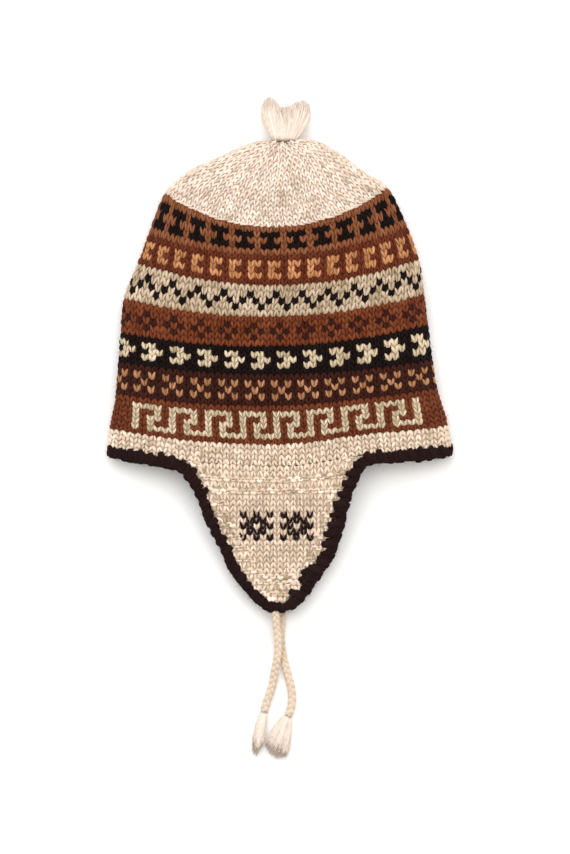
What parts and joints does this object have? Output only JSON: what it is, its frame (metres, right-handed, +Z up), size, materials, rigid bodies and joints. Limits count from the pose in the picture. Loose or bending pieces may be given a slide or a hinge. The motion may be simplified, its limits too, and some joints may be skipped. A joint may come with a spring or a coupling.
{
  "type": "chullo hat",
  "caption": "Knitted cap with ear flaps lying flat: hollow banded body, crocheted edging, tuft on top, and a tie cord with a tuft on each flap.",
  "frame": {"origin": "on the resting plane, under the middle of the cap's box without its ties", "axes": "+Y towards the tuft on top, -Y towards the ear flaps and ties, +X along the hem, +Z up out of the upper layer"},
  "size_m": [0.2726, 0.5206, 0.042],
  "materials": {
    "banded_knit": "soft matt alpaca knit in cream, rust, tan, dark brown and black",
    "cream_knit": "soft matt alpaca knit, slightly hairy",
    "edging_yarn": "thick matt crochet in black-brown yarn",
    "tuft_yarn": "brushed, undyed loose yarn",
    "tie_yarn": "plaited, undyed yarn"
  },
  "bodies": {
    "root": {"knitted_body": "banded_knit", "ear_flap_upper": "cream_knit", "ear_flap_lower": "cream_knit", "crocheted_edging": "edging_yarn", "top_tuft": "tuft_yarn", "tie_cord_upper": "tie_yarn", "tie_cord_lower": "tie_yarn", "tie_tuft_upper": "tuft_yarn", "tie_tuft_lower": "tuft_yarn"}
  },
  "joints": []
}
